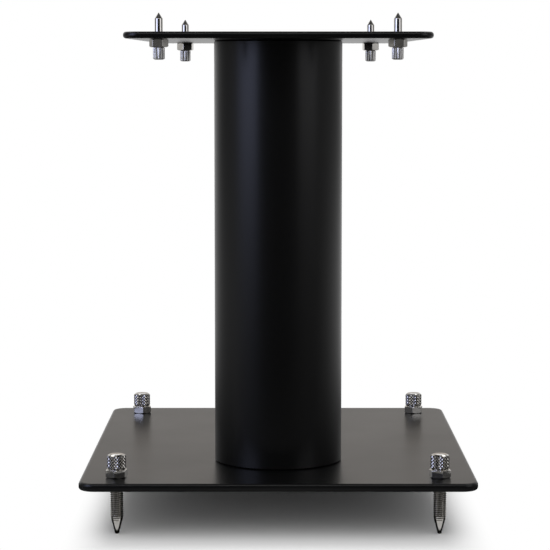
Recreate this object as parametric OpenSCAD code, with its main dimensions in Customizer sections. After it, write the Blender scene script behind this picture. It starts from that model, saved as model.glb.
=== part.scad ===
// Short steel speaker stand: a rectangular base plate, one round column and a
// tapered top plate. Four threaded floor spikes pass down through the base and
// four smaller ones point up through the top plate. Each spike has a thumb head,
// knurled at the floor and fluted at the top, and is locked to its plate by a
// thin hexagon nut.
// Millimetres. +Z is up and -Y is the front. The origin lies under the centre
// of the base plate, level with the tips of the floor spikes.

/* [Base plate] */
// Width of the base plate, left to right
base_width = 240; // [200:1:320]
// Depth of the base plate, front to rear
base_depth = 285; // [250:1:360]
// Thickness of the base plate
base_thickness = 5; // [4:0.5:8]
// Radius of the base plate's corners in plan
base_corner_radius = 10; // [4:0.5:15]

/* [Top plate] */
// Width of the top plate along its front edge
top_front_width = 184; // [160:1:240]
// Width of the top plate along its rear edge
top_rear_width = 162; // [140:1:240]
// Depth of the top plate, front to rear
top_depth = 200; // [170:1:260]
// Thickness of the top plate
top_thickness = 4; // [4:0.5:8]
// Radius of the top plate's corners in plan
top_corner_radius = 10; // [4:0.5:15]

/* [Plate edges] */
// Radius that rounds the upper and lower edges of both plates
plate_edge_radius = 1.8; // [0.5:0.1:1.9]

/* [Column] */
// Length of the column between the two plates
column_height = 264; // [200:1:700]
// Outside diameter of the column tube
column_diameter = 80; // [70:1:100]
// Wall of the column tube
column_wall = 2.5; // [1.5:0.5:4]
// Distance from the base plate's front edge back to the column's axis
base_setback = 82.5; // [75:0.5:120]
// Distance from the top plate's front edge back to the column's axis
top_setback = 82.5; // [75:0.5:100]
// Chamfer that shows as a dark line where the tube meets a plate
column_edge_break = 0.8; // [0.3:0.1:1.2]
// Thickness of the steel discs welded inside the tube's ends
end_plate_thickness = 8; // [6:0.5:14]
// Gap that the weld fills between an end disc and the tube
weld_gap = 0.1; // [0.05:0.05:0.2]

/* [Column screws] */
// Shank diameter of the countersunk screws that hold the plates on
screw_diameter = 6; // [4:0.5:8]
// Overall length of the screws
screw_length = 12; // [10.5:0.5:13]
// Head diameter of the screws
screw_head_diameter = 12; // [9.5:0.5:14]
// Width across the flats of the screws' hexagon sockets
screw_socket_width = 4; // [2.5:0.5:5]
// Depth of the screws' hexagon sockets
screw_socket_depth = 2; // [1:0.5:3]
// Diameter of the circle that the four screws lie on
screw_circle_diameter = 50; // [44:1:54]
// Number of screws in each end of the column
screw_count = 4; // [3:1:6]

/* [Floor spikes] */
// Distance of each floor spike's axis from the base plate's edges
floor_inset = 22; // [15:0.5:35]
// Outside diameter of the floor spikes' thread
floor_thread_diameter = 8; // [6:0.5:10]
// Distance that the floor spikes reach below the base plate
floor_reach = 30; // [22:0.5:40]
// Length of the conical point
floor_point_length = 11.4; // [8:0.1:13]
// Radius of the rounded tip
floor_tip_radius = 1.4; // [0.8:0.1:2]
// Diameter of the knurled head
floor_head_diameter = 11.8; // [11:0.1:14]
// Height of the knurled head
floor_head_height = 9.2; // [6:0.1:12]
// Chamfer round the top of the knurled head
floor_head_chamfer = 1.3; // [0.5:0.1:2]
// Width across the flats of the floor spikes' lock nuts
floor_nut_width = 12; // [12:0.5:17]
// Height of the floor spikes' lock nuts
floor_nut_height = 5; // [3:0.5:7]

/* [Top spikes] */
// Distance of each top spike's axis from the top plate's edges
top_inset = 20; // [14:0.5:30]
// Outside diameter of the top spikes' thread
top_thread_diameter = 6; // [5:0.5:6]
// Diameter of the plain pin above the thread
top_pin_diameter = 4.8; // [4:0.1:5]
// Distance that the top spikes reach above the top plate
top_reach = 11.5; // [8:0.5:16]
// Length of the conical point
top_point_length = 3.5; // [2:0.1:5]
// Diameter of the fluted head
top_head_diameter = 7; // [7:0.1:9]
// Height of the fluted head
top_head_height = 7.3; // [5:0.1:10]
// Chamfer round the free end of the fluted head
top_head_chamfer = 0.7; // [0.3:0.1:1.2]
// Number of straight flutes round the head
top_flute_count = 16; // [12:1:20]
// Depth of the flutes
top_flute_depth = 0.35; // [0.2:0.05:0.4]
// Width across the flats of the top spikes' lock nuts
top_nut_width = 10; // [9:0.5:12]
// Height of the top spikes' lock nuts
top_nut_height = 5; // [3:0.5:6]

/* [Fits] */
// Radial clearance of a thread in its tapped hole or its nut
thread_clearance = 0.05; // [0.02:0.01:0.1]
// Radial clearance of a column screw in its plate
screw_clearance = 0.3; // [0.1:0.05:0.5]
// Clearance between a countersunk head and its seat
seat_clearance = 0.05; // [0.02:0.01:0.1]

/* [Hidden] */

$fn = 96;

// How far a cutting solid runs past the face that it cuts
overrun = 1;

// Sides of the object as factors on X and Y
left = -1;
right = 1;
front = -1;
rear = 1;

// Heights of the faces that the pieces seat on
base_bottom_z = floor_reach;
base_top_z = base_bottom_z + base_thickness;
top_bottom_z = base_top_z + column_height;
top_top_z = top_bottom_z + top_thickness;

// Places of the plates and the column in plan
base_front_y = -base_depth / 2;
column_y = base_front_y + base_setback;
top_front_y = column_y - top_setback;

// Lean of the top plate's side edges from the front to rear direction
top_side_lean = atan((top_front_width - top_rear_width) / 2 / top_depth);

// Places of the floor spikes
floor_spike_x = base_width / 2 - floor_inset;
floor_spike_y = base_depth / 2 - floor_inset;

// Places of the top spikes, which follow the leaning side edges
function top_half_width(depth) = top_front_width / 2 - depth * tan(top_side_lean);
function top_spike_x(end) =
    top_half_width(end == front ? top_inset : top_depth - top_inset) - top_inset;
function top_spike_y(end) =
    top_front_y + (end == front ? top_inset : top_depth - top_inset);

// Column screws: the head is a cone of 90 degrees on a plain shank
screw_head_depth = (screw_head_diameter - screw_diameter) / 2;
tube_bore_radius = column_diameter / 2 - column_wall;
end_plate_radius = tube_bore_radius - weld_gap;

// Radii of the tapped holes
floor_hole_radius = floor_thread_diameter / 2 + thread_clearance;
top_hole_radius = top_thread_diameter / 2 + thread_clearance;
screw_tapped_radius = screw_diameter / 2 + thread_clearance;

// Small bevels, as shares of the sizes that they follow
nut_face_share = 0.95;
nut_bevel_angle = 30;
bore_bevel_share = 0.08;
head_foot_share = 0.45;
ridge_land_share = 0.15;

// Angle at which a plate's rounded surfaces cross the flat ones. Their radii are
// a hair larger for it than in a true tangent, by 0.4 percent.
crossing_angle = 5;

// Turns of the lock nuts as the photograph shows them, in degrees from a corner
// that faces the front. They are mirrored from one side to the other.
floor_nut_turn = 10;
front_top_nut_turn = 36;
rear_top_nut_turn = 10;

coat_black = [0.06, 0.06, 0.065];
nickel = [0.78, 0.76, 0.73];
screw_black = [0.16, 0.16, 0.17];
raw_steel = [0.42, 0.42, 0.44];

// Section of a plate from X = 0 out to reach, with its outer edges rounded
module plate_section(reach, thickness) {
    intersection() {
        square([reach, thickness]);
        union() {
            square([reach - plate_edge_radius, thickness]);
            translate([0, plate_edge_radius])
                square([reach, thickness - 2 * plate_edge_radius]);
            for (y = [plate_edge_radius, thickness - plate_edge_radius]) {
                translate([reach - plate_edge_radius, y])
                    circle(r = plate_edge_radius / cos(crossing_angle));
            }
        }
    }
}

// What lies outside a straight side that runs from start to finish, with the
// plate on the left of that way
module side_waste(start, finish, thickness) {
    way = finish - start;
    reach = 2 * plate_edge_radius;
    translate([finish[0], finish[1], 0])
        rotate([90, 0, atan2(way[1], way[0]) - 90])
            translate([-reach, 0, -2 * overrun])
                linear_extrude(height = norm(way) + 4 * overrun)
                    difference() {
                        translate([reach - plate_edge_radius, -overrun])
                            square([plate_edge_radius + 3 * overrun, thickness + 2 * overrun]);
                        plate_section(reach, thickness);
                    }
}

// Flat plate with all its edges rounded, whose front edge lies on Y = 0. Its
// sides lean by side_lean. A blank that reaches past the four sides is cut back
// to them, and a disc rounds each corner.
module plate_blank(front_width, depth, thickness, corner_radius, side_lean) {
    rear_width = front_width - 2 * depth * tan(side_lean);
    front_corner_x = front_width / 2 - corner_radius * (1 + sin(side_lean)) / cos(side_lean);
    rear_corner_x = rear_width / 2 - corner_radius * (1 - sin(side_lean)) / cos(side_lean);
    front_corner = [front_corner_x, corner_radius];
    rear_corner = [rear_corner_x, depth - corner_radius];
    outward = [cos(side_lean), sin(side_lean)];
    rearward = [-sin(side_lean), cos(side_lean)];
    right_edge = [
        [front_corner_x - overrun, -overrun],
        front_corner + (corner_radius + overrun) * outward + overrun * rearward,
        rear_corner + (corner_radius + overrun) * outward - overrun * rearward,
        [rear_corner_x - overrun, depth + overrun],
    ];
    left_edge = [for (i = [3:-1:0]) [-right_edge[i][0], right_edge[i][1]]];
    difference() {
        linear_extrude(height = thickness) polygon(concat(right_edge, left_edge));
        side_waste([-front_corner_x, 0], [front_corner_x, 0], thickness);
        side_waste([rear_corner_x, depth], [-rear_corner_x, depth], thickness);
        for (flip = [0, 1]) {
            mirror([flip, 0, 0])
                side_waste(
                    front_corner + corner_radius * outward,
                    rear_corner + corner_radius * outward,
                    thickness
                );
        }
    }
    for (side = [left, right]) {
        for (corner = [front_corner, rear_corner]) {
            translate([side * corner[0], corner[1], 0])
                rotate_extrude()
                    plate_section(corner_radius / cos(crossing_angle), thickness);
        }
    }
}

// Places its children at each column screw's place round the column's axis
module at_column_screws() {
    for (i = [0:screw_count - 1]) {
        translate([0, column_y, 0])
            rotate([0, 0, 360 / screw_count * (i + 1 / 2)])
                translate([screw_circle_diameter / 2, 0, 0])
                    children();
    }
}

// Countersunk screw, head up, with the top of its head on Z = 0
module column_screw() {
    difference() {
        union() {
            translate([0, 0, -screw_head_depth])
                cylinder(h = screw_head_depth, r1 = screw_diameter / 2, r2 = screw_head_diameter / 2);
            translate([0, 0, -screw_length])
                cylinder(h = screw_length - screw_head_depth, d = screw_diameter);
        }
        translate([0, 0, -screw_socket_depth])
            cylinder(h = screw_socket_depth + overrun, d = screw_socket_width / cos(30), $fn = 6);
    }
}

// Hole for a countersunk screw in a plate whose screwed face is Z = 0
module column_screw_hole(plate_thickness) {
    seat_depth = screw_head_depth + seat_clearance;
    translate([0, 0, -plate_thickness - overrun])
        cylinder(h = plate_thickness + overrun, r = screw_diameter / 2 + screw_clearance);
    translate([0, 0, -seat_depth])
        cylinder(
            h = seat_depth + overrun,
            r1 = screw_diameter / 2,
            r2 = screw_head_diameter / 2 + seat_clearance + overrun
        );
}

// Welded disc with a tapped hole for each column screw, standing on Z = 0
module end_plate() {
    difference() {
        translate([0, column_y, 0])
            cylinder(h = end_plate_thickness, r = end_plate_radius);
        at_column_screws()
            translate([0, 0, -overrun])
                cylinder(h = end_plate_thickness + 2 * overrun, r = screw_tapped_radius);
    }
}

// Thin hexagon lock nut standing on Z = 0. A revolved profile bevels both ends
// of a hexagonal prism, which leaves the curved edges that a real nut has.
module lock_nut(width, height, bore_radius) {
    corner_radius = width / 2 / cos(30);
    face_radius = width / 2 * nut_face_share;
    bevel = (corner_radius - face_radius) * tan(nut_bevel_angle);
    bore_bevel = bore_radius * bore_bevel_share;
    difference() {
        intersection() {
            cylinder(h = height, r = corner_radius, $fn = 6);
            rotate_extrude()
                polygon([
                    [0, 0],
                    [face_radius, 0],
                    [corner_radius, bevel],
                    [corner_radius, height - bevel],
                    [face_radius, height],
                    [0, height],
                ]);
        }
        translate([0, 0, -overrun])
            cylinder(h = height + 2 * overrun, r = bore_radius);
        for (end = [0, height]) {
            translate([0, 0, end - bore_bevel])
                cylinder(
                    h = 2 * bore_bevel,
                    r1 = bore_radius + (end == 0 ? 2 * bore_bevel : 0),
                    r2 = bore_radius + (end == 0 ? 0 : 2 * bore_bevel)
                );
        }
    }
}

// Floor spike, point down, with its tip on Z = 0. The point is a cone that
// runs tangent into a round tip.
module floor_spike() {
    thread_radius = floor_thread_diameter / 2;
    head_radius = floor_head_diameter / 2;
    head_foot = floor_head_chamfer * head_foot_share;
    seat_z = base_top_z + floor_nut_height;
    head_top_z = seat_z + floor_head_height;
    tip_to_shoulder = [thread_radius, floor_point_length - floor_tip_radius];
    cone_half_angle = atan(tip_to_shoulder[0] / tip_to_shoulder[1])
        - asin(floor_tip_radius / norm(tip_to_shoulder));
    tip_steps = 6;
    tip = [
        for (i = [0:tip_steps])
            let (turn = -90 + (90 - cone_half_angle) * i / tip_steps)
            floor_tip_radius * [cos(turn), 1 + sin(turn)]
    ];
    rotate_extrude()
        polygon(concat(tip, [
            [thread_radius, floor_point_length],
            [thread_radius, seat_z],
            [head_radius - head_foot, seat_z],
            [head_radius, seat_z + head_foot],
            [head_radius, head_top_z - floor_head_chamfer],
            [head_radius - floor_head_chamfer, head_top_z],
            [0, head_top_z],
        ]));
}

// Head of a top spike, standing on Z = 0: a turned blank cut to a star of flutes,
// with a narrow land left on each ridge
module fluted_head() {
    head_radius = top_head_diameter / 2;
    head_foot = top_head_chamfer * head_foot_share;
    ridge_radius = head_radius + top_flute_depth * ridge_land_share;
    intersection() {
        rotate_extrude()
            polygon([
                [0, 0],
                [head_radius - top_head_chamfer, 0],
                [head_radius, top_head_chamfer],
                [head_radius, top_head_height - head_foot],
                [head_radius - head_foot, top_head_height],
                [0, top_head_height],
            ]);
        translate([0, 0, -overrun])
            linear_extrude(height = top_head_height + 2 * overrun)
                polygon([
                    for (i = [0:2 * top_flute_count - 1])
                        let (reach = i % 2 == 0 ? ridge_radius : head_radius - top_flute_depth)
                        let (turn = 180 / top_flute_count * i)
                        reach * [cos(turn), sin(turn)]
                ]);
    }
}

// Top spike, point up, with its tip at the given reach above the top plate
module top_spike() {
    thread_radius = top_thread_diameter / 2;
    pin_radius = top_pin_diameter / 2;
    seat_z = top_bottom_z - top_nut_height;
    root_z = seat_z - top_head_height / 2;
    tip_z = top_top_z + top_reach;
    thread_end_z = top_top_z - (thread_radius - pin_radius);
    translate([0, 0, seat_z - top_head_height]) fluted_head();
    rotate_extrude()
        polygon([
            [0, root_z],
            [thread_radius, root_z],
            [thread_radius, thread_end_z],
            [pin_radius, top_top_z],
            [pin_radius, tip_z - top_point_length],
            [0, tip_z],
        ]);
}

// Places for a floor spike and for a top spike
module at_floor(side, end) {
    translate([side * floor_spike_x, end * floor_spike_y, 0]) children();
}

module at_top(side, end) {
    translate([side * top_spike_x(end), top_spike_y(end), 0]) children();
}

// A floor lock nut sits on the base plate, and its turn is mirrored from one
// side to the other and from the front to the rear
module floor_nut(side, end) {
    color(nickel)
        at_floor(side, end)
            translate([0, 0, base_top_z])
                rotate([0, 0, 30 - side * end * floor_nut_turn])
                    lock_nut(floor_nut_width, floor_nut_height, floor_hole_radius);
}

// A top lock nut hangs against the underside of the top plate
module top_nut(side, end) {
    turn = end == rear ? rear_top_nut_turn : front_top_nut_turn;
    color(nickel)
        at_top(side, end)
            translate([0, 0, top_bottom_z - top_nut_height])
                rotate([0, 0, 30 + side * turn])
                    lock_nut(top_nut_width, top_nut_height, top_hole_radius);
}

module base_plate() {
    color(coat_black)
        difference() {
            translate([0, base_front_y, base_bottom_z])
                plate_blank(base_width, base_depth, base_thickness, base_corner_radius, 0);
            for (side = [left, right]) {
                for (end = [front, rear]) {
                    at_floor(side, end)
                        translate([0, 0, base_bottom_z - overrun])
                            cylinder(h = base_thickness + 2 * overrun, r = floor_hole_radius);
                }
            }
            at_column_screws()
                translate([0, 0, base_bottom_z])
                    mirror([0, 0, 1])
                        column_screw_hole(base_thickness);
        }
}

// Round tube whose two ends are chamfered outside
module column_tube() {
    outer_radius = column_diameter / 2;
    color(coat_black)
        translate([0, column_y, base_top_z])
            rotate_extrude()
                polygon([
                    [tube_bore_radius, 0],
                    [outer_radius - column_edge_break, 0],
                    [outer_radius, column_edge_break],
                    [outer_radius, column_height - column_edge_break],
                    [outer_radius - column_edge_break, column_height],
                    [tube_bore_radius, column_height],
                ]);
}

module lower_end_plate() {
    color(raw_steel)
        translate([0, 0, base_top_z])
            end_plate();
}

module upper_end_plate() {
    color(raw_steel)
        translate([0, 0, top_bottom_z - end_plate_thickness])
            end_plate();
}

module top_plate() {
    color(coat_black)
        difference() {
            translate([0, top_front_y, top_bottom_z])
                plate_blank(top_front_width, top_depth, top_thickness, top_corner_radius, top_side_lean);
            for (side = [left, right]) {
                for (end = [front, rear]) {
                    at_top(side, end)
                        translate([0, 0, top_bottom_z - overrun])
                            cylinder(h = top_thickness + 2 * overrun, r = top_hole_radius);
                }
            }
            at_column_screws()
                translate([0, 0, top_top_z])
                    column_screw_hole(top_thickness);
        }
}

module base_screws() {
    color(screw_black)
        at_column_screws()
            translate([0, 0, base_bottom_z])
                mirror([0, 0, 1])
                    column_screw();
}

module top_screws() {
    color(screw_black)
        at_column_screws()
            translate([0, 0, top_top_z])
                column_screw();
}

module front_left_floor_spike() { color(nickel) at_floor(left, front) floor_spike(); }
module front_right_floor_spike() { color(nickel) at_floor(right, front) floor_spike(); }
module rear_left_floor_spike() { color(nickel) at_floor(left, rear) floor_spike(); }
module rear_right_floor_spike() { color(nickel) at_floor(right, rear) floor_spike(); }

module front_left_floor_nut() { floor_nut(left, front); }
module front_right_floor_nut() { floor_nut(right, front); }
module rear_left_floor_nut() { floor_nut(left, rear); }
module rear_right_floor_nut() { floor_nut(right, rear); }

module front_left_top_spike() { color(nickel) at_top(left, front) top_spike(); }
module front_right_top_spike() { color(nickel) at_top(right, front) top_spike(); }
module rear_left_top_spike() { color(nickel) at_top(left, rear) top_spike(); }
module rear_right_top_spike() { color(nickel) at_top(right, rear) top_spike(); }

module front_left_top_nut() { top_nut(left, front); }
module front_right_top_nut() { top_nut(right, front); }
module rear_left_top_nut() { top_nut(left, rear); }
module rear_right_top_nut() { top_nut(right, rear); }

base_plate();
column_tube();
lower_end_plate();
upper_end_plate();
top_plate();
base_screws();
top_screws();
front_left_floor_spike();
front_right_floor_spike();
rear_left_floor_spike();
rear_right_floor_spike();
front_left_floor_nut();
front_right_floor_nut();
rear_left_floor_nut();
rear_right_floor_nut();
front_left_top_spike();
front_right_top_spike();
rear_left_top_spike();
rear_right_top_spike();
front_left_top_nut();
front_right_top_nut();
rear_left_top_nut();
rear_right_top_nut();
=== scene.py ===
import math

import bpy
import numpy as np
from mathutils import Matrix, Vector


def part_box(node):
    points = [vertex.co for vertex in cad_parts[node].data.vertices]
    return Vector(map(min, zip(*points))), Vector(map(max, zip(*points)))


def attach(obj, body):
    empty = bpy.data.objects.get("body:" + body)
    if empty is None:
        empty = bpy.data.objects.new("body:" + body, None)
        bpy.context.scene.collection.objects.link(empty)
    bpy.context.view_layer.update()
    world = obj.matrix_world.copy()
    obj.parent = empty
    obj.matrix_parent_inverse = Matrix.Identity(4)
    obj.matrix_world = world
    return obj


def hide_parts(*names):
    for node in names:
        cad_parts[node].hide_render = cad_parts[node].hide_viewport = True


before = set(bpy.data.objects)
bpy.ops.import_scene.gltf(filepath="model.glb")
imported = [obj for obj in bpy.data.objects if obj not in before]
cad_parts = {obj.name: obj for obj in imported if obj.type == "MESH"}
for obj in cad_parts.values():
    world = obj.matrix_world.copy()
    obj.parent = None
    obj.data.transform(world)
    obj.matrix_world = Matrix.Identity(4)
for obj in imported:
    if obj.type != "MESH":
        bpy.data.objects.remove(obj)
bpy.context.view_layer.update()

# Lengths are in metres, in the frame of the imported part: +Z up, -Y the front. Angles are in
# degrees where a name doesn't say otherwise.
MM = 0.001
SIDES = {"left": -1, "right": 1}
ENDS = {"front": -1, "rear": 1}
CORNERS = [(end, side) for end in ENDS for side in SIDES]

# Camera of the photograph
IMAGE_WIDTH = 550
SENSOR_WIDTH = 36.0
FOCAL_PIXELS = 2062.6
CAMERA_PLACE = (-2.0 * MM, -1353.4 * MM, 277.7 * MM)
CAMERA_PITCH_RADIANS = 0.0967
CAMERA_CLIP = (0.05, 100)

# Plates, with their widths along the front and the rear edge
PLATE_CORNER_RADIUS = 10 * MM
PLATE_EDGE_RADIUS = 1.8 * MM
BASE_PLATE_WIDTHS = (240 * MM, 240 * MM)
BASE_PLATE_DEPTH = 285 * MM
TOP_PLATE_WIDTHS = (184 * MM, 162 * MM)
TOP_PLATE_DEPTH = 200 * MM

# Column
COLUMN_EDGE_BREAK = 0.8 * MM
COLUMN_WALL = 2.5 * MM

# Countersunk screws that hold the column
SCREW_CIRCLE_RADIUS = 25 * MM
SCREW_COUNT = 4
SCREW_SHANK_RADIUS = 3 * MM
SCREW_HEAD_RADIUS = 6 * MM
SCREW_CLEARANCE = 0.3 * MM
SCREW_SEAT_CLEARANCE = 0.05 * MM

# Floor spikes
FLOOR_THREAD_RADIUS = 4 * MM
FLOOR_PITCH = 1.25 * MM
FLOOR_POINT_LENGTH = 11.4 * MM
FLOOR_RUN_OUT_SHARE = 0.86
FLOOR_TIP_RADIUS = 1.4 * MM
FLOOR_TIP_FACE = 0.15 * MM
FLOOR_HEAD_HEIGHT = 9.2 * MM
FLOOR_HEAD_CHAMFER = 1.3 * MM
FLOOR_NUT_WIDTH = 12 * MM
FLOOR_NUT_TURN = 10

# Top spikes
TOP_THREAD_RADIUS = 3 * MM
TOP_PITCH = 1.0 * MM
TOP_PIN_RADIUS = 2.4 * MM
TOP_POINT_LENGTH = 3.5 * MM
TOP_TIP_BLUNT = 0.2 * MM
TOP_HEAD_HEIGHT = 7.3 * MM
TOP_HEAD_CHAMFER = 0.7 * MM
TOP_NUT_WIDTH = 10 * MM
TOP_NUT_TURNS = {"front": 36, "rear": 10}

# Fits and small bevels, as in the solids. A nut without its turn has a corner to the right.
THREAD_CLEARANCE = 0.05 * MM
NUT_FACE_SHARE = 0.95
NUT_BEVEL_SLOPE = math.tan(math.radians(30))
BORE_BEVEL_SHARE = 0.08
HEAD_FOOT_SHARE = 0.45
HEAD_EDGE_WIDTH = 0.3 * MM
KNURLED_EDGE_IN = 0.1 * MM
KNURLED_EDGE_DROP = 0.12 * MM
FLUTED_EDGE_RISE = 0.15 * MM
CENTRE_MARK_RADII = (0.8 * MM, 0.4 * MM)
CENTRE_MARK_DEPTH = 0.12 * MM
PIN_SHOULDER_BELOW = 0.15 * MM
PIN_SHOULDER_ABOVE = 0.05 * MM
PIN_SHOULDER_IN = 0.1 * MM
NUT_EDGE_WIDTH = 0.12 * MM
CORNER_TO_FRONT = 30

# Cut of the knurls and threads
THREAD_DEPTH_SHARE = 0.5
THREAD_WAVE = 0.62
DIAMONDS_AROUND = 16
DIAMOND_HEIGHT = 2.0 * MM
DIAMOND_DEPTH = 0.6 * MM
FLUTES_AROUND = 16
FLUTE_DEPTH = 0.35 * MM
# Shares of the nickel's painted groove shade in the flutes and at the rims of the knurled band
FLUTE_SHADE = 0.15
KNURL_RIM_SHADE = 0.3
BAND_GAP = 0.05 * MM

# Overlap of shells that join and of cutters with what they cut, and the rim that a plate's flat
# face has inside its rounded edge
OVERLAP = 1 * MM
PLATE_RIM = 0.4 * MM

# Steps of the round shapes, and angles over which an edge stays sharp
CORNER_STEPS = 10
EDGE_STEPS = 7
HOLE_SIDES = 48
COLUMN_RINGS = 24
COLUMN_SIDES = 192
FLOOR_SPIKE_SIDES = 64
TOP_SPIKE_SIDES = 48
TOP_THREAD_RINGS = 110
TIP_RINGS = 9
CONE_RINGS = 12
RINGS_A_TURN = 12
NUT_SIDE_STEPS = 12
SHARP_ANGLE = 30
NUT_SHARP_ANGLE = 20

# Sizes and heights of the marks in the finishes
PEEL_SIZE = 0.9 * MM
PEEL_HEIGHT = 0.02 * MM
GRIT_SIZE = 0.22 * MM
GLOSS_PATCH_SIZE = 45 * MM
TURNING_MARK_SIZE = 0.12 * MM
TURNING_MARK_HEIGHT = 0.01 * MM
STAIN_SIZE = 2.2 * MM
WEAR_SIZE = 1.5 * MM
WEAR_HEIGHT = 0.01 * MM
MILL_SCALE_SIZE = 9 * MM
MILL_SCALE_HEIGHT = 0.03 * MM


# Camera

def add_camera():
    """The camera stands about level with the column's head and looks down a little."""
    data = bpy.data.cameras.new("photograph_camera")
    data.sensor_width = SENSOR_WIDTH
    data.lens = FOCAL_PIXELS / IMAGE_WIDTH * SENSOR_WIDTH
    data.clip_start, data.clip_end = CAMERA_CLIP
    camera = bpy.data.objects.new("photograph_camera", data)
    camera.location = CAMERA_PLACE
    camera.rotation_euler = (math.pi / 2 - CAMERA_PITCH_RADIANS, 0, 0)
    bpy.context.scene.collection.objects.link(camera)
    bpy.context.scene.camera = camera


# Shader graphs

class Value:
    """A number in a shader graph. Sums, differences, products and abs add Math nodes."""

    def __init__(self, graph, socket):
        self.graph = graph
        self.socket = socket

    def __add__(self, other):
        return self.graph.math("ADD", self, other)

    def __radd__(self, other):
        return self.graph.math("ADD", other, self)

    def __sub__(self, other):
        return self.graph.math("SUBTRACT", self, other)

    def __rsub__(self, other):
        return self.graph.math("SUBTRACT", other, self)

    def __mul__(self, other):
        return self.graph.math("MULTIPLY", self, other)

    def __rmul__(self, other):
        return self.graph.math("MULTIPLY", other, self)

    def __neg__(self):
        return 0 - self

    def __abs__(self):
        return self.graph.math("ABSOLUTE", self)

    def largest(self, other):
        return self.graph.math("MAXIMUM", self, other)

    def ramp(self, low, high, at_low=0.0, at_high=1.0):
        """Runs smoothly from at_low to at_high as the number goes from low to high."""
        inputs = {
            "Value": self, "From Min": low, "From Max": high, "To Min": at_low, "To Max": at_high,
        }
        settings = {"interpolation_type": "SMOOTHSTEP"}
        return self.graph.value("ShaderNodeMapRange", "Result", settings, inputs)


def set_stops(elements, stops):
    """Sets the stops of a colour ramp, each a position and a grey."""
    elements.remove(elements[1])
    elements[0].position = stops[0][0]
    elements[0].color = (stops[0][1],) * 3 + (1.0,)
    for position, grey in stops[1:]:
        elements.new(position).color = (grey, grey, grey, 1.0)


class Graph:
    """The node graph of one material or of the world."""

    def __init__(self, owner):
        owner.use_nodes = True
        self.tree = owner.node_tree
        self.tree.nodes.clear()
        is_world = isinstance(owner, bpy.types.World)
        self.output = "ShaderNodeOutputWorld" if is_world else "ShaderNodeOutputMaterial"

    def add(self, kind, settings=None, inputs=None):
        """Adds a node of any kind: its settings first, then the values or links of its sockets.

        The setting called stops is a colour ramp's, as pairs of a position and a grey.
        """
        node = self.tree.nodes.new(kind)
        for name, value in (settings or {}).items():
            if name == "stops":
                set_stops(node.color_ramp.elements, value)
            else:
                setattr(node, name, value)
        for key, value in (inputs or {}).items():
            if isinstance(value, Value):
                self.tree.links.new(value.socket, node.inputs[key])
            elif isinstance(value, bpy.types.NodeSocket):
                self.tree.links.new(value, node.inputs[key])
            else:
                node.inputs[key].default_value = value
        return node

    def value(self, kind, output, settings=None, inputs=None):
        """One output of a new node, as a number."""
        return Value(self, self.add(kind, settings, inputs).outputs[output])

    def math(self, operation, *operands):
        """The result of a Math node."""
        inputs = dict(enumerate(operands))
        return self.value("ShaderNodeMath", "Value", {"operation": operation}, inputs)

    def place(self):
        """The point on the piece, in metres in the part's own frame."""
        return self.add("ShaderNodeTexCoord").outputs["Object"]

    def coordinates(self):
        """The three coordinates of the point on the piece, as numbers."""
        parts = self.add("ShaderNodeSeparateXYZ", None, {"Vector": self.place()})
        return [Value(self, part) for part in parts.outputs]

    def stretched(self, vector, scale):
        """A vector with each of its three parts scaled."""
        inputs = {"Vector": vector, "Scale": scale}
        return self.add("ShaderNodeMapping", {"vector_type": "POINT"}, inputs).outputs[0]

    def noise(self, vector, size, detail, roughness):
        """Noise from 0 to 1 whose blotches are about size across."""
        inputs = {"Vector": vector, "Scale": 1 / size, "Detail": detail, "Roughness": roughness}
        return self.value("ShaderNodeTexNoise", "Fac", None, inputs)

    def lookup(self, number, low, high, table):
        """Looks a number between low and high up in a table of pairs (number, result)."""
        stops = [((at - low) / (high - low), result) for at, result in table]
        inputs = {"Fac": (number - low) * (1 / (high - low))}
        return self.value("ShaderNodeValToRGB", "Color", {"stops": stops}, inputs)

    def blend(self, share, first, second):
        """A colour between two colours."""
        inputs = {"Factor": share, "A": first, "B": second}
        return self.add("ShaderNodeMix", {"data_type": "RGBA"}, inputs).outputs["Result"]

    def bump(self, strength, distance, height):
        """The surface's direction, as if height raised it by up to distance."""
        inputs = {"Strength": strength, "Distance": distance, "Height": height}
        return self.add("ShaderNodeBump", None, inputs).outputs[0]

    def principled(self, inputs):
        return self.add("ShaderNodeBsdfPrincipled", None, inputs).outputs[0]

    def emission(self, colour, strength):
        inputs = {"Color": colour, "Strength": strength}
        return self.add("ShaderNodeEmission", None, inputs).outputs[0]

    def finish(self, shader):
        self.add(self.output, None, {"Surface": shader})


def new_material(name):
    material = bpy.data.materials.new(name)
    return material, Graph(material)


def rgba(red, green, blue):
    return (red, green, blue, 1.0)


# Finishes

def powder_coat():
    """Satin black powder coat: a fine orange peel, slightly uneven gloss, and dust-fine specks."""
    material, g = new_material("black_coat")
    place = g.place()
    peel = g.noise(place, PEEL_SIZE, 2.0, 0.5)
    grit = g.noise(place, GRIT_SIZE, 1.0, 0.5)
    patches = g.noise(place, GLOSS_PATCH_SIZE, 2.0, 0.5)
    colour = g.blend(grit.ramp(0.45, 0.75), rgba(0.0004, 0.0004, 0.0005), rgba(0.0014, 0.0014, 0.0016))
    shader = g.principled({
        "Base Color": colour,
        "Roughness": 0.26 + 0.05 * patches + 0.03 * grit,
        "IOR": 1.38,
        "Normal": g.bump(0.35, PEEL_HEIGHT, peel + 0.35 * grit),
    })
    g.finish(shader)
    return material


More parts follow.
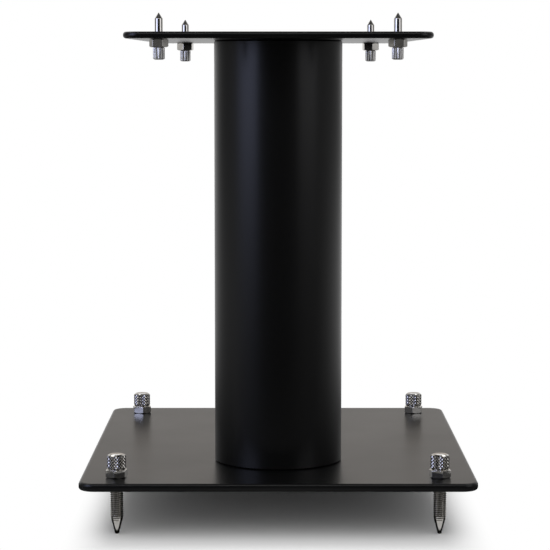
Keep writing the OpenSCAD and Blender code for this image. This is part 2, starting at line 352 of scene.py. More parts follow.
def bright_nickel():
    """Bright nickel plate over turned steel, satin where fluted, duller and with painted shade in the
    cuts.
    """
    material, g = new_material("bright_nickel")
    place = g.place()
    hollow = g.value("ShaderNodeAttribute", "Fac", {"attribute_name": "hollow"})
    satin = g.value("ShaderNodeAttribute", "Fac", {"attribute_name": "satin"})
    rings = g.noise(g.stretched(place, (0.05, 0.05, 1.0)), TURNING_MARK_SIZE, 1.0, 0.5)
    stain = g.noise(place, STAIN_SIZE, 3.0, 0.6)
    # Painted shade: the grooves' depth, from the hollow mark, darkens the nickel to brown-grey, more
    # where the stain noise is high; the same mask raises the roughness there
    groove_shade_and_dullness = (hollow * (0.65 + 0.35 * stain)).ramp(0.05, 0.95)
    plate = g.blend(stain.ramp(0.35, 0.75), rgba(0.68, 0.66, 0.63), rgba(0.56, 0.54, 0.505))
    plate = g.blend(satin, plate, rgba(0.84, 0.83, 0.82))
    shader = g.principled({
        "Base Color": g.blend(groove_shade_and_dullness, plate, rgba(0.16, 0.145, 0.125)),
        "Metallic": 1.0,
        "Roughness": 0.05 + 0.06 * stain + 0.22 * groove_shade_and_dullness + 0.27 * satin,
        "Normal": g.bump(0.12, TURNING_MARK_HEIGHT, rings),
    })
    g.finish(shader)
    return material


def oxide_black():
    """Black oxide of the countersunk screws, rubbed a little on the high spots."""
    material, g = new_material("black_screw")
    place = g.place()
    wear = g.noise(place, WEAR_SIZE, 3.0, 0.6)
    shader = g.principled({
        "Base Color": g.blend(wear.ramp(0.5, 0.8), rgba(0.045, 0.045, 0.05), rgba(0.11, 0.11, 0.115)),
        "Metallic": 1.0,
        "Roughness": 0.38 + 0.12 * wear,
        "Normal": g.bump(0.2, WEAR_HEIGHT, wear),
    })
    g.finish(shader)
    return material


def bare_steel():
    """Cut mild steel of the discs inside the tube, with mill scale in patches."""
    material, g = new_material("inner_steel")
    place = g.place()
    scale = g.noise(place, MILL_SCALE_SIZE, 4.0, 0.6)
    shader = g.principled({
        "Base Color": g.blend(scale.ramp(0.4, 0.65), rgba(0.42, 0.42, 0.43), rgba(0.20, 0.19, 0.19)),
        "Metallic": 1.0,
        "Roughness": 0.35 + 0.25 * scale,
        "Normal": g.bump(0.3, MILL_SCALE_HEIGHT, scale),
    })
    g.finish(shader)
    return material


# Surfaces

def ring_grid(rings, columns):
    """Quads between neighbouring rings of equally many points, as rows of vertex numbers."""
    row, column = np.meshgrid(np.arange(rings - 1), np.arange(columns), indexing="ij")
    following = (column + 1) % columns
    quads = np.stack(
        [row * columns + column, row * columns + following,
         (row + 1) * columns + following, (row + 1) * columns + column], axis=-1)
    return quads.reshape(-1, 4)


def closed_shell(points, hollow=None):
    """A stack of rings, from the lowest up, closed by one flat face at each end.

    points has the shape (rings, columns, 3), each ring counter-clockwise seen from above.
    """
    rings, columns, _ = points.shape
    faces = ring_grid(rings, columns).tolist()
    faces.append(np.arange(columns)[::-1].tolist())
    faces.append((np.arange(columns) + (rings - 1) * columns).tolist())
    hollow = np.zeros((rings, columns)) if hollow is None else hollow
    return points.reshape(-1, 3), faces, hollow.reshape(-1)


def closed_ring(points):
    """Like closed_shell, but the last ring joins the first, as on a tube or a nut."""
    rings, columns, _ = points.shape
    faces = ring_grid(rings, columns)
    last = ring_grid(2, columns)
    last = np.where(last >= columns, last - columns, last + (rings - 1) * columns)
    faces = np.concatenate([faces, last]).tolist()
    return points.reshape(-1, 3), faces, np.zeros(rings * columns)


def mark(mesh, name, values):
    """Stores one number a point, for a material to read."""
    attribute = mesh.attributes.new(name, "FLOAT", "POINT")
    attribute.data.foreach_set("value", values.astype(np.float32))


def make_piece(name, shells, place=(0, 0, 0), sharp_angle=SHARP_ANGLE):
    """One mesh object at the origin from several shells, whose points are moved to place."""
    points, faces, hollow, start = [], [], [], 0
    for shell_points, shell_faces, shell_hollow in shells:
        points.append(shell_points + np.array(place))
        hollow.append(shell_hollow)
        faces.extend([[i + start for i in face] for face in shell_faces])
        start += len(shell_points)
    mesh = bpy.data.meshes.new(name)
    mesh.from_pydata(np.concatenate(points).tolist(), [], faces)
    mark(mesh, "hollow", np.concatenate(hollow))
    mesh.shade_smooth()
    mesh.set_sharp_from_angle(angle=math.radians(sharp_angle))
    piece = bpy.data.objects.new(name, mesh)
    bpy.context.scene.collection.objects.link(piece)
    return piece


def dress(piece, material, body, node):
    """Gives a piece its finish and its body, and lets it stand for its CAD node."""
    piece.data.materials.append(material)
    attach(piece, body)
    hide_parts(node)


def middle(node):
    """Centre of a CAD node in plan."""
    low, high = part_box(node)
    return (low.x + high.x) / 2, (low.y + high.y) / 2


def around(columns, start=0.0):
    """Angles of the columns of a ring, counter-clockwise from start."""
    return start + np.arange(columns) * 2 * math.pi / columns


def revolve(profile, columns):
    """Rings of a turned shape: the profile's points (radius, height) carried round the Z axis."""
    profile = np.array(profile)
    angle = around(columns)
    radius = profile[:, 0, None]
    height = np.broadcast_to(profile[:, 1, None], (len(profile), columns))
    return np.stack([radius * np.cos(angle), radius * np.sin(angle), height], axis=-1)


def plate_outline(widths, depth, radius, inset):
    """Outline of a plate in plan, with round corners, drawn in by inset on every side.

    Each corner is an arc about the point that lies radius inside both edges. The arc's radius
    shrinks by the inset, so the outlines of all insets have their corners on the same centres.
    """
    front_width, rear_width = widths
    lean = math.atan((front_width - rear_width) / 2 / depth)
    front_x = front_width / 2 - radius * (1 + math.sin(lean)) / math.cos(lean)
    rear_x = rear_width / 2 - radius * (1 - math.sin(lean)) / math.cos(lean)
    corners = [
        (front_x, radius, -math.pi / 2, lean),
        (rear_x, depth - radius, lean, math.pi / 2),
        (-rear_x, depth - radius, math.pi / 2, math.pi - lean),
        (-front_x, radius, math.pi - lean, 3 * math.pi / 2),
    ]
    arcs = []
    for x, y, first, last in corners:
        angle = np.linspace(first, last, CORNER_STEPS)
        reach = radius - inset
        arcs.append(np.stack([x + reach * np.cos(angle), y + reach * np.sin(angle)], axis=-1))
    return np.concatenate(arcs)


def plate_shell(low, high, widths, depth, edge_radius):
    """Plate with round corners and rounded edges, in the middle of the box from low to high.

    The edge's section is a quarter circle above and below: at the angle t from the flat face
    the outline is drawn in by radius * (1 - sin t) and lies radius * (1 - cos t) from the face.
    """
    turn = np.linspace(0, math.pi / 2, EDGE_STEPS)
    inset = edge_radius * (1 - np.sin(turn))
    rise = edge_radius * (1 - np.cos(turn))
    flat = [edge_radius + PLATE_RIM]
    insets = np.concatenate([flat, inset, inset[::-1], flat])
    heights = np.concatenate([[low.z], low.z + rise, high.z - rise[::-1], [high.z]])
    middle_x = (low.x + high.x) / 2
    front_y = (low.y + high.y - depth) / 2
    rings = []
    for drawn_in, height in zip(insets, heights):
        outline = plate_outline(widths, depth, PLATE_CORNER_RADIUS, drawn_in)
        rings.append(np.column_stack(
            [outline[:, 0] + middle_x, outline[:, 1] + front_y, np.full(len(outline), height)]))
    return closed_shell(np.stack(rings))


def cut(piece, cutters):
    """Cuts closed shells out of a piece with exact booleans and keeps the result as its mesh."""
    tool = make_piece("cutter", cutters)
    modifier = piece.modifiers.new("holes", "BOOLEAN")
    modifier.operation = "DIFFERENCE"
    modifier.solver = "EXACT"
    modifier.object = tool
    bpy.context.view_layer.update()
    evaluated = piece.evaluated_get(bpy.context.evaluated_depsgraph_get())
    mesh = bpy.data.meshes.new_from_object(evaluated)
    piece.modifiers.clear()
    piece.data = mesh
    bpy.data.objects.remove(tool)
    mesh.shade_smooth()
    mesh.set_sharp_from_angle(angle=math.radians(SHARP_ANGLE))


def moved(shell, x, y):
    """The same shell at another place in plan."""
    points, faces, hollow = shell
    return points + np.array([x, y, 0]), faces, hollow


def spike_holes(nodes, radius, low_z, high_z):
    """A closed cylinder for each spike's hole, a little longer than the plate is thick."""
    rings = revolve([(radius, low_z - OVERLAP), (radius, high_z + OVERLAP)], HOLE_SIDES)
    return [moved(closed_shell(rings), *middle(node)) for node in nodes]


def screw_holes(thickness, seat_z, up):
    """A countersunk hole for each column screw: a cone of 90 degrees on a plain hole.

    The cone opens at seat_z, upwards where up is 1 and downwards where it is -1.
    """
    head = SCREW_HEAD_RADIUS - SCREW_SHANK_RADIUS + SCREW_SEAT_CLEARANCE
    shank = SCREW_SHANK_RADIUS + SCREW_CLEARANCE
    profile = [
        (shank, seat_z - up * (thickness + OVERLAP)),
        (shank, seat_z - up * (head - SCREW_CLEARANCE)),
        (SCREW_HEAD_RADIUS + SCREW_SEAT_CLEARANCE, seat_z),
        (SCREW_HEAD_RADIUS + SCREW_SEAT_CLEARANCE, seat_z + up * OVERLAP),
    ]
    if up < 0:
        profile.reverse()
    shell = closed_shell(revolve(profile, HOLE_SIDES))
    column_x, column_y = middle("column_tube")
    holes = []
    for turn in around(SCREW_COUNT, math.pi / SCREW_COUNT):
        x = column_x + SCREW_CIRCLE_RADIUS * math.cos(turn)
        y = column_y + SCREW_CIRCLE_RADIUS * math.sin(turn)
        holes.append(moved(shell, x, y))
    return holes


def make_plate(node, coat, widths, depth, spike_kind, thread_radius, up):
    """A plate with its spikes' holes and, on its outer face, the column screws' countersinks."""
    low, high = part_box(node)
    shell = plate_shell(low, high, widths, depth, PLATE_EDGE_RADIUS)
    plate = make_piece(f"coated_{node}", [shell])
    spikes = [f"{end}_{side}_{spike_kind}" for end, side in CORNERS]
    cutters = spike_holes(spikes, thread_radius + THREAD_CLEARANCE, low.z, high.z)
    cutters += screw_holes(high.z - low.z, high.z if up > 0 else low.z, up)
    cut(plate, cutters)
    dress(plate, coat, "stand", node)


def make_base_plate(coat):
    make_plate(
        "base_plate", coat, BASE_PLATE_WIDTHS, BASE_PLATE_DEPTH, "floor_spike", FLOOR_THREAD_RADIUS, -1)


def make_top_plate(coat):
    make_plate(
        "top_plate", coat, TOP_PLATE_WIDTHS, TOP_PLATE_DEPTH, "top_spike", TOP_THREAD_RADIUS, 1)


def make_column(coat):
    """Round tube with a chamfer outside at each end: its section carried round the axis."""
    low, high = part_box("column_tube")
    outer = (high.x - low.x) / 2
    inner = outer - COLUMN_WALL
    heights = np.linspace(low.z + COLUMN_EDGE_BREAK, high.z - COLUMN_EDGE_BREAK, COLUMN_RINGS)
    profile = [(inner, low.z), (outer - COLUMN_EDGE_BREAK, low.z)]
    profile += [(outer, z) for z in heights]
    profile += [(outer - COLUMN_EDGE_BREAK, high.z), (inner, high.z)]
    tube = closed_ring(revolve(profile, COLUMN_SIDES))
    column = make_piece("coated_column", [tube], (*middle("column_tube"), 0))
    dress(column, coat, "stand", "column_tube")


def thread_cut(height, angle, pitch):
    """Depth of a thread from 0 at its crest to 1 at its root.

    The cut is a cosine wave along the helix, cut off flat at the crest and the root.
    """
    wave = 0.5 - THREAD_WAVE * np.cos(2 * math.pi * (height / pitch - angle / (2 * math.pi)))
    return np.clip(wave, 0, 1)


def threaded_rod(heights, limit, radius, pitch, columns):
    """Rod whose radius is the thread's or the limit's, whichever is less at that height."""
    angle = around(columns)[None, :]
    height = np.array(heights)[:, None]
    cut_depth = thread_cut(height, angle, pitch)
    thread = radius - THREAD_DEPTH_SHARE * pitch * cut_depth
    limit = np.array(limit)[:, None]
    r = np.minimum(thread, limit)
    # Depth of the cut in the thread, which the nickel turns into painted shade in the roots
    hollow = np.where(thread <= limit, cut_depth, 0)
    height = np.broadcast_to(height, r.shape)
    points = np.stack([r * np.cos(angle), r * np.sin(angle), height], axis=-1)
    return closed_shell(points, hollow)


def pointed_rod(tip_z, end_z):
    """Shank of a floor spike: a round tip, a tangent cone, and M8 thread up to the head.

    The cone runs from the shoulder tangent to the tip's sphere. At each height the surface is
    the thread or the cone, whichever is nearer to the axis, so the thread runs out on the cone.
    """
    shoulder = FLOOR_POINT_LENGTH
    slant = math.hypot(FLOOR_THREAD_RADIUS, shoulder - FLOOR_TIP_RADIUS)
    half_angle = math.atan(FLOOR_THREAD_RADIUS / (shoulder - FLOOR_TIP_RADIUS))
    half_angle -= math.asin(FLOOR_TIP_RADIUS / slant)
    turn = np.linspace(-math.pi / 2, -half_angle, TIP_RINGS)[1:]
    tip_radius = FLOOR_TIP_RADIUS * np.cos(turn)
    tip_height = FLOOR_TIP_RADIUS * (1 + np.sin(turn))
    run_out = FLOOR_RUN_OUT_SHARE * shoulder
    plain = np.linspace(tip_height[-1], run_out, CONE_RINGS)[1:]
    turns = (end_z - tip_z - run_out) / FLOOR_PITCH
    threaded = np.linspace(run_out, end_z - tip_z, int(turns * RINGS_A_TURN) + 1)[1:]
    height = np.concatenate([[0], tip_height, plain, threaded])
    cone = FLOOR_THREAD_RADIUS - (shoulder - height) * math.tan(half_angle)
    limit = np.concatenate([[FLOOR_TIP_FACE], tip_radius, cone[1 + len(turn):]])
    limit = np.minimum(limit, FLOOR_THREAD_RADIUS)
    return threaded_rod(tip_z + height, limit, FLOOR_THREAD_RADIUS, FLOOR_PITCH, FLOOR_SPIKE_SIDES)


def split_quads(quads, rising):
    """Two triangles for each quad.

    They meet on the line from its first to its third corner where rising is true, and
    elsewhere on the line from its second to its fourth.
    """
    a, b, c, d = np.moveaxis(quads, -1, 0)
    first = np.where(rising, np.stack([a, b, c], axis=-1), np.stack([a, b, d], axis=-1))
    second = np.where(rising, np.stack([a, c, d], axis=-1), np.stack([b, c, d], axis=-1))
    return np.stack([first, second], axis=2).reshape(-1, 3)


def diamond_head(radius, seat_z, height, chamfer, diamonds, diamond_height, depth):
    """Knurled head: a band of diamond points between a small foot chamfer and a large top one.

    The two sets of grooves cross at every second point of a lattice of half a diamond, and the
    tips of the diamonds are the points between. Each quad is split along its groove.
    """
    foot = chamfer * HEAD_FOOT_SHARE
    root = radius - depth
    low, high = seat_z + foot - depth / 2, seat_z + height - chamfer + depth
    rows = 2 * round((high - low) / diamond_height) + 1
    columns = 2 * diamonds
    row, column = np.meshgrid(np.arange(rows), np.arange(columns), indexing="ij")
    tip = (row + column) % 2 == 1
    tip[0] = tip[-1] = False
    r = np.where(tip, radius, root)
    z = low + (high - low) * row / (rows - 1)
    angle = around(columns)[column]
    band = np.stack([r * np.cos(angle), r * np.sin(angle), z], axis=-1)
    # 1 in the grooves and a share of that at the band's rims, for the nickel's painted shade
    hollow = np.where(tip, 0.0, 1.0)
    hollow[0] = hollow[-1] = KNURL_RIM_SHADE
    top = seat_z + height
    mark_radius, mark_floor = CENTRE_MARK_RADII
    below = revolve([(root - foot / 2, seat_z), (root, low - BAND_GAP)], columns)
    above = revolve([
        (root, high + BAND_GAP),
        (radius - chamfer - KNURLED_EDGE_IN, top - KNURLED_EDGE_DROP),
        (radius - chamfer - HEAD_EDGE_WIDTH, top),
        (mark_radius, top),
        (mark_floor, top - CENTRE_MARK_DEPTH),
    ], columns)
    points = np.concatenate([below, band, above])
    hollow = np.concatenate([np.zeros(below.shape[:2]), hollow, np.zeros(above.shape[:2])])
    shell_points, faces, shell_hollow = closed_shell(points, hollow)
    quads = np.array(faces[:-2]).reshape(-1, columns, 4)
    first, last = len(below), len(below) + rows - 1
    rising = ((row + column)[:-1] % 2 == 0)[..., None]
    faces = [
        *quads[:first].reshape(-1, 4).tolist(),
        *split_quads(quads[first:last], rising).tolist(),
        *quads[last:].reshape(-1, 4).tolist(),
        *faces[-2:],
    ]
    return shell_points, faces, shell_hollow


def fluted_head(radius, seat_z, height, chamfer, flutes, depth):
    """Head of a top spike, hanging below its seat: straight flutes between two chamfers.

    Round each flute the depth follows a triangle wave, from 0 on a ridge to 1 in a groove.
    """
    foot = chamfer * HEAD_FOOT_SHARE
    columns = 4 * flutes
    wave = 1 - np.abs(np.arange(columns) % 4 - 2) / 2
    low, high = seat_z - height, seat_z - foot
    angle = around(columns)
    rows = [
        (radius - chamfer - HEAD_EDGE_WIDTH, 0, low),
        (radius - chamfer, 0, low + FLUTED_EDGE_RISE),
        (radius - depth, 0, low + chamfer - depth),
        (radius, 1, low + chamfer),
        (radius, 1, high),
        (radius - depth, 0, high + foot / 2),
        (radius - depth - foot / 2, 0, seat_z),
    ]
    rings, hollows = [], []
    for outer, fluted, z in rows:
        r = outer - fluted * depth * wave
        rings.append(np.stack([r * np.cos(angle), r * np.sin(angle), np.full(columns, z)], axis=-1))
        # Painted shade in the flutes' grooves, a small share of the grooves' full shade
        hollows.append(FLUTE_SHADE * fluted * wave)
    return closed_shell(np.stack(rings), np.stack(hollows))


def make_floor_spike(node, nickel):
    """A threaded shank with a round point, and a knurled head on it."""
    low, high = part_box(node)
    seat_z = high.z - FLOOR_HEAD_HEIGHT
    shank = pointed_rod(low.z, seat_z + OVERLAP)
    head = diamond_head(
        (high.x - low.x) / 2, seat_z, FLOOR_HEAD_HEIGHT, FLOOR_HEAD_CHAMFER,
        DIAMONDS_AROUND, DIAMOND_HEIGHT, DIAMOND_DEPTH)
    spike = make_piece(f"knurled_{node}", [shank, head], (*middle(node), 0))
    dress(spike, nickel, node, node)


def make_top_spike(node, nickel):
    """The thread fills the nut and the plate, and a plain pin with a turned point stands above."""
    low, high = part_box(node)
    plate_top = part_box("top_plate")[1].z
    seat_z = low.z + TOP_HEAD_HEIGHT
    step_z = plate_top - (TOP_THREAD_RADIUS - TOP_PIN_RADIUS)
    shoulder_z = high.z - TOP_POINT_LENGTH
    heights = np.linspace(seat_z - OVERLAP, step_z, TOP_THREAD_RINGS)
    limit = np.full(len(heights), TOP_THREAD_RADIUS)
    thread = threaded_rod(heights, limit, TOP_THREAD_RADIUS, TOP_PITCH, TOP_SPIKE_SIDES)
    pin = closed_shell(revolve([
        (TOP_PIN_RADIUS, step_z - OVERLAP),
        (TOP_PIN_RADIUS, shoulder_z - PIN_SHOULDER_BELOW),
        (TOP_PIN_RADIUS - PIN_SHOULDER_IN, shoulder_z + PIN_SHOULDER_ABOVE),
        (TOP_TIP_BLUNT, high.z - TOP_TIP_BLUNT),
        (TOP_TIP_BLUNT / 2, high.z),
    ], TOP_SPIKE_SIDES))
    head = fluted_head(
        (high.x - low.x) / 2, seat_z, TOP_HEAD_HEIGHT, TOP_HEAD_CHAMFER, FLUTES_AROUND, FLUTE_DEPTH)
    spike = make_piece(f"fluted_{node}", [thread, pin, head], (*middle(node), 0))
    plain = np.zeros(len(thread[0]) + len(pin[0]))
    mark(spike.data, "satin", np.concatenate([plain, np.ones(len(head[0]))]))
    dress(spike, nickel, node, node)


def nut_shell(low_z, high_z, width, bore, turn):
    """Hexagon nut with bevelled ends and bore.

    At the angle a from a corner the flat lies width / 2 / cos(a - 30) from the axis, with a
    taken within its own sixth of a turn. The end's bevel falls away beyond the face's circle at
    30 degrees, so where it meets the flats it leaves the arched edges of a real nut.
    """
    angle = around(6 * NUT_SIDE_STEPS)
    within = angle % (math.pi / 3) - math.pi / 6
    flat = width / 2 / np.cos(within)
    face = width / 2 * NUT_FACE_SHARE
    drop = np.maximum(flat - face, 0) * NUT_BEVEL_SLOPE
    bevel = bore * BORE_BEVEL_SHARE
    even = np.ones_like(angle)
    rings = [
        (bore * even, low_z + bevel * even),
        ((bore + bevel) * even, low_z * even),
        (face * even, low_z * even),
        (flat, low_z + drop),
        (flat, high_z - drop),
        (face * even, high_z * even),
        ((bore + bevel) * even, high_z * even),
        (bore * even, high_z - bevel * even),
    ]
    turned = angle + turn
    points = [np.stack([r * np.cos(turned), r * np.sin(turned), z], axis=-1) for r, z in rings]
    return closed_ring(np.stack(points))


def make_nut(node, width, thread_radius, turn, nickel):
    """A lock nut whose edges a bevel softens."""
    low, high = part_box(node)
    shell = nut_shell(low.z, high.z, width, thread_radius + THREAD_CLEARANCE, math.radians(turn))
    nut = make_piece(f"bevelled_{node}", [shell], (*middle(node), 0), NUT_SHARP_ANGLE)
    bevel = nut.modifiers.new("soft_edges", "BEVEL")
    bevel.width = NUT_EDGE_WIDTH
    bevel.segments = 2
    bevel.limit_method = "ANGLE"
    bevel.angle_limit = math.radians(NUT_SHARP_ANGLE)
    bevel.harden_normals = True
    dress(nut, nickel, node, node)


def make_hardware(nickel):
    """At each corner a floor spike and a top spike, each with its lock nut turned as it shows."""
    for end, side in CORNERS:
        corner = f"{end}_{side}"
        make_floor_spike(f"{corner}_floor_spike", nickel)
        make_top_spike(f"{corner}_top_spike", nickel)
        floor_turn = CORNER_TO_FRONT - SIDES[side] * ENDS[end] * FLOOR_NUT_TURN
        make_nut(f"{corner}_floor_nut", FLOOR_NUT_WIDTH, FLOOR_THREAD_RADIUS, floor_turn, nickel)
        top_turn = CORNER_TO_FRONT + SIDES[side] * TOP_NUT_TURNS[end]
        make_nut(f"{corner}_top_nut", TOP_NUT_WIDTH, TOP_THREAD_RADIUS, top_turn, nickel)


def paint_node(name, material):
    """Gives a CAD node that stays in view its finish."""
    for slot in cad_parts[name].material_slots:
        slot.material = material


# Studio

FLOOR_REACH = 8.0
FLOOR_COLOUR = rgba(0.985, 0.985, 0.985)
WORLD_LIGHT = 0.97
WORLD_FRONT_SHARE = 0.85
WORLD_SIDE_SHARE = 0.45
SHADOW_SIDE = (98 * MM, 130 * MM)
SHADOW_FRONT = (150 * MM, 199 * MM)
SHADOW_REAR = (118 * MM, 150 * MM)

# Cards that stand round the stand and show only in its gloss. Each table gives their glow at
# an angle round the stand, in degrees from the camera's side, positive to the right.
# A ramp is the two places between which a share runs from 0 to 1, or from one given value to
# another.
ROUND = (-180, 180)
CARD_POINTS = 146
CARD_RADIUS = 4.0
CARD_INNER = 0.02
CEILING_INNER = 0.01
CARD_RISE = 0.4 * MM
# Painted shade dims the floor card near the stand and more under it, and painted light lies on it in a
# patch before the stand and in a strip before the front spikes
NEAR_STAND_SHADE_RAMP = (0.27, 0.9, 0.14, 1.0)
UNDER_STAND_SHADE_RAMP = (0.17, 0.20, 0.2, 1.0)
BEFORE_ANGLES = (60, 95)
NEAR_FRONT_GLOW = 0.35
NEAR_FRONT_START = (0.15, 0.18)
NEAR_FRONT_END = (0.27, 0.31)
SPIKE_STRIP_GLOW = 0.55
SPIKE_STRIP = (124 * MM, 139 * MM)
SPIKE_STRIP_BLUR = 2 * MM
WALL_HIGH = 3.2
HORIZON_RAMP = (0.30, 0.31)
LOW_WALL_RAMP = (0.56, 0.66)
OPEN_BEHIND = 165
OPEN_HIGH = 0.50
BEHIND_ANGLES = (155, 172)
BEHIND_COLOUR = rgba(1.0, 0.93, 0.86)
FLOOR_GLOW = [
    (-180, 1.0), (-165, 0.85), (-151, 0.56), (-134, 0.47), (-118, 0.42), (-102, 0.46), (-88, 0.52),
    (-76, 0.56), (-63, 0.42), (-50, 0.24), (-38, 0.13), (-26, 0.07), (-12, 0.05), (0, 0.04),
    (14, 0.05), (27, 0.07), (40, 0.10), (54, 0.14), (69, 0.20), (83, 0.42), (99, 0.62), (114, 0.72),
    (129, 0.64), (144, 0.64), (160, 0.90), (180, 1.0),
]
HORIZON_GLOW = [
    (-180, 1.0), (-165, 0.95), (-151, 0.78), (-134, 0.36), (-118, 0.06), (-102, 0.06), (-70, 0.22),
    (-38, 0.16), (-26, 0.12), (-12, 0.07), (0, 0.05), (14, 0.07), (27, 0.12), (40, 0.14),
    (70, 0.10), (83, 0.02), (99, 0.02), (114, 0.03), (129, 0.10), (144, 0.26), (160, 0.60),
    (180, 1.0),
]
LOW_WALL_GLOW = [
    (-180, 0.80), (-148, 0.80), (-140, 0.30), (-100, 0.30), (-92, 0.60), (-70, 0.60), (-33, 0.09),
    (33, 0.09), (70, 0.60), (92, 0.60), (100, 0.30), (140, 0.30), (148, 0.80), (180, 0.80),
]
WALL_GLOW = [
    (-180, 0.53), (-168, 0.53), (-155, 0.8), (-132, 0.5), (-108, 0.2), (-81, 0.15), (-60, 0.04),
    (-20, 0.02), (20, 0.02), (60, 0.04), (81, 0.15), (108, 0.2), (132, 0.5), (155, 0.8),
    (168, 0.53), (180, 0.53),
]
CEILING_GLOW = [
    (-180, 0.35), (-140, 0.30), (-125, 0.10), (-80, 0.10), (-30, 0.06), (30, 0.06), (80, 0.10),
    (125, 0.10), (140, 0.30), (180, 0.35),
]

# Soft boxes above the stand: one to each side behind it, and one before it
HIGH_BOX_DISTANCE = 2.2
HIGH_BOX_RISE = 60
HIGH_BOX_ANGLE = 120
HIGH_BOX_SIZE = 0.8
HIGH_BOX_RADIANCE = 2.0
FRONT_BOX_DISTANCE = 1.6
FRONT_BOX_RISES = (42, 60)
FRONT_BOX_WIDTH = 1.0
FRONT_BOX_GLOW = 1.8

# Upright soft boxes beside the stand
LEFT_BOX = {
    "side_angle": -57, "distance": 1.3, "width": 0.96, "low": 0.19, "high": 1.6,
    "colour": rgba(0.64, 0.70, 1.0),
}
LEFT_BOX_RAMP = (-80, -52, 0.8, 3.1)
RIGHT_BOX = {
    "side_angle": 54, "distance": 1.5, "width": 0.94, "low": 0.24, "high": 1.7,
    "colour": rgba(0.97, 0.97, 1.0),
}
RIGHT_BOX_GLOW = 1.3


def seen_rays(g):
    """1 for what is seen, straight, in gloss or through glass, and 0 for what lights softly."""
    rays = g.add("ShaderNodeLightPath").outputs
    straight, gloss, through = (
        Value(g, rays[name]) for name in ("Is Camera Ray", "Is Glossy Ray", "Is Transmission Ray"))
    return straight.largest(gloss).largest(through)


def add_world():
    """White to the camera and in every reflection. For soft light it is brighter at the front."""
    world = bpy.data.worlds.new("studio")
    bpy.context.scene.world = world
    g = Graph(world)
    direction = g.add("ShaderNodeTexCoord").outputs["Generated"]
    parts = g.add("ShaderNodeSeparateXYZ", None, {"Vector": direction}).outputs
    x, y = Value(g, parts["X"]), Value(g, parts["Y"])
    light = WORLD_LIGHT - WORLD_FRONT_SHARE * y - WORLD_SIDE_SHARE * abs(x)
    seen = seen_rays(g)
    strength = seen + (1 - seen) * light
    background = g.add("ShaderNodeBackground", None, {"Color": rgba(1, 1, 1), "Strength": strength})
    g.finish(background.outputs[0])


def stage_mesh(name, points, faces, material):
    """A surface of the studio, which isn't part of the stand."""
    mesh = bpy.data.meshes.new(name)
    mesh.from_pydata(np.array(points).reshape(-1, 3).tolist(), [], faces)
    mesh.materials.append(material)
    piece = bpy.data.objects.new(name, mesh)
    bpy.context.scene.collection.objects.link(piece)
    return piece


def only_in_reflections(piece):
    """A card that stands outside the picture and shows only in gloss."""
    piece.visible_camera = False
    piece.visible_diffuse = False
    piece.visible_transmission = False
    piece.visible_volume_scatter = False
    piece.visible_shadow = False


def add_floor():
    """Pale floor that keeps the object's shadow and runs out to white away from it."""
    material, g = new_material("pale_floor")
    x, y, _ = g.coordinates()
    beside = abs(x).ramp(*SHADOW_SIDE)
    before = (-y).ramp(*SHADOW_FRONT)
    behind = y.ramp(*SHADOW_REAR)
    kept = (1 - beside) * (1 - before) * (1 - behind)
    shaded = g.add("ShaderNodeBsdfDiffuse", None, {"Color": FLOOR_COLOUR})
    white = g.emission(rgba(1, 1, 1), 1.0)
    inputs = {0: seen_rays(g) * (1 - kept), 1: shaded.outputs[0], 2: white}
    g.finish(g.add("ShaderNodeMixShader", None, inputs).outputs[0])
    r = FLOOR_REACH
    stage_mesh("floor", [(-r, -r, 0), (r, -r, 0), (r, r, 0), (-r, r, 0)], [(0, 1, 2, 3)], material)


def degrees_round(g):
    """Angle round the stand, in degrees from the camera's side, positive to the right."""
    x, y, _ = g.coordinates()
    return g.math("ARCTAN2", x, -y) * (180 / math.pi)


def card_material(name, glow, colour=rgba(1, 1, 1)):
    """A card that glows by itself. Its glow and colour are fixed, or functions of the graph."""
    material, g = new_material(name)
    strength = glow(g) if callable(glow) else glow
    colour = colour(g) if callable(colour) else colour
    g.finish(g.emission(colour, strength))
    return material


def ring_row(radius, height):
    """Points round the stand from behind it, over its left side and its front, to behind it."""
    turn = np.radians(np.linspace(*ROUND, CARD_POINTS))
    heights = np.broadcast_to(height, turn.shape)
    return np.stack([radius * np.sin(turn), -radius * np.cos(turn), heights], axis=-1)


def add_card(name, first_row, second_row, material):
    """A card between two rows of points that shows only in gloss."""
    count = len(first_row)
    faces = [(i, i + 1, i + 1 + count, i + count) for i in range(count - 1)]
    only_in_reflections(stage_mesh(name, [first_row, second_row], faces, material))


def add_floor_cards():
    """Flat card on the floor, with painted shade close to and under the stand and painted light before
    it and its front spikes.
    """
    def glow(g):
        distance = g.value("ShaderNodeVectorMath", "Value", {"operation": "LENGTH"}, {0: g.place()})
        side_angle = degrees_round(g)
        before = 1 - abs(side_angle).ramp(*BEFORE_ANGLES)
        ahead = -g.coordinates()[1]
        # Painted shade: the glow dims near the stand and more under it
        far = g.lookup(side_angle, *ROUND, FLOOR_GLOW) * distance.ramp(*NEAR_STAND_SHADE_RAMP)
        # Painted light: a lit patch before the stand and a lit strip before its front spikes
        near = NEAR_FRONT_GLOW * ahead.ramp(*NEAR_FRONT_START) * (1 - distance.ramp(*NEAR_FRONT_END))
        into_strip, past_strip = (ahead.ramp(edge, edge + SPIKE_STRIP_BLUR) for edge in SPIKE_STRIP)
        strip = SPIKE_STRIP_GLOW * into_strip * (1 - past_strip)
        return far * distance.ramp(*UNDER_STAND_SHADE_RAMP) + before * (near + strip)

    rows = [ring_row(radius, CARD_RISE) for radius in (CARD_INNER, CARD_RADIUS)]
    add_card("floor_cards", *rows, card_material("floor_cards", glow))


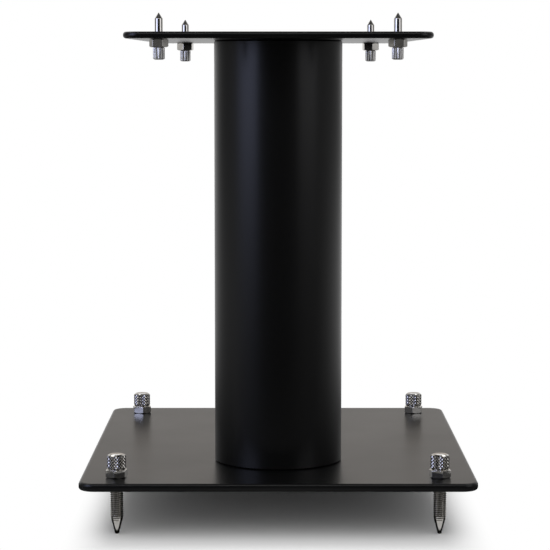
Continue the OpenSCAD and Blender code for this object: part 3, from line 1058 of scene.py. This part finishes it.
def add_walls():
    """Round wall of cards. Straight behind the stand the white beyond shows under it."""
    def glow(g):
        height = g.coordinates()[2]
        side_angle = degrees_round(g)
        horizon = g.lookup(side_angle, *ROUND, HORIZON_GLOW)
        low_wall = g.lookup(side_angle, *ROUND, LOW_WALL_GLOW)
        wall = g.lookup(side_angle, *ROUND, WALL_GLOW)
        lower = horizon + (low_wall - horizon) * height.ramp(*HORIZON_RAMP)
        return lower + (wall - low_wall) * height.ramp(*LOW_WALL_RAMP)

    def colour(g):
        behind = abs(degrees_round(g)).ramp(*BEHIND_ANGLES)
        return g.blend(behind, rgba(1, 1, 1), BEHIND_COLOUR)

    turn = np.linspace(*ROUND, CARD_POINTS)
    foot = ring_row(CARD_RADIUS, np.where(np.abs(turn) < OPEN_BEHIND, 0.0, OPEN_HIGH))
    top = ring_row(CARD_RADIUS, WALL_HIGH)
    add_card("wall_cards", foot, top, card_material("wall_cards", glow, colour))


def add_ceiling():
    """Card over the walls: a dim ceiling that is a little brighter behind the stand."""
    def glow(g):
        return g.lookup(degrees_round(g), *ROUND, CEILING_GLOW)

    rows = [ring_row(radius, WALL_HIGH) for radius in (CARD_RADIUS, CEILING_INNER)]
    add_card("ceiling_card", *rows, card_material("ceiling_card", glow))


def add_soft_box(name, side_angle, distance, width, low, high, glow, colour):
    """Upright soft box that faces the column, side_angle degrees round from the camera's side.

    It shows only in gloss, so that its colour stays out of the shadow on the floor.
    """
    turn = math.radians(side_angle)
    x, y = distance * math.sin(turn), middle("column_tube")[1] - distance * math.cos(turn)
    rows = [
        [(x + across * math.cos(turn), y + across * math.sin(turn), height)
         for across in (-width / 2, width / 2)]
        for height in (low, high)
    ]
    add_card(name, *rows, card_material(name, glow, colour))


def add_high_box(name, side):
    """Square lamp above and behind to one side, tilted down at the stand.

    Its power is its radiance, which is what a mirror would show of it, by pi and its area.
    """
    data = bpy.data.lights.new(name, "AREA")
    data.size = HIGH_BOX_SIZE
    data.energy = HIGH_BOX_RADIANCE * math.pi * HIGH_BOX_SIZE ** 2
    turn = math.radians(side * HIGH_BOX_ANGLE)
    rise = math.radians(HIGH_BOX_RISE)
    reach = HIGH_BOX_DISTANCE * math.cos(rise)
    lamp = bpy.data.objects.new(name, data)
    lamp.location = (
        reach * math.sin(turn), -reach * math.cos(turn), HIGH_BOX_DISTANCE * math.sin(rise))
    lamp.rotation_euler = (math.pi / 2 - rise, 0, turn)
    bpy.context.scene.collection.objects.link(lamp)


def add_front_box():
    """Soft box above and before the stand, which draws out the knurls."""
    rows = [
        [(x, -FRONT_BOX_DISTANCE * math.cos(rise), FRONT_BOX_DISTANCE * math.sin(rise))
         for x in (-FRONT_BOX_WIDTH / 2, FRONT_BOX_WIDTH / 2)]
        for rise in map(math.radians, FRONT_BOX_RISES)
    ]
    add_card("front_box", *rows, card_material("front_box", FRONT_BOX_GLOW))


def left_box_glow(g):
    """The left soft box is brighter on the side towards the camera."""
    return degrees_round(g).ramp(*LEFT_BOX_RAMP)


def add_studio():
    add_world()
    add_floor()
    add_floor_cards()
    add_walls()
    add_ceiling()
    for name, side in SIDES.items():
        add_high_box(f"high_{name}_box", side)
    add_front_box()
    add_soft_box("left_box", **LEFT_BOX, glow=left_box_glow)
    add_soft_box("right_box", **RIGHT_BOX, glow=RIGHT_BOX_GLOW)


add_camera()
coat = powder_coat()
nickel = bright_nickel()
make_base_plate(coat)
make_top_plate(coat)
make_column(coat)
make_hardware(nickel)
for screws in ("base_screws", "top_screws"):
    paint_node(screws, oxide_black())
for disc in ("lower_end_plate", "upper_end_plate"):
    paint_node(disc, bare_steel())
add_studio()

bpy.context.scene.view_settings.view_transform = "Standard"
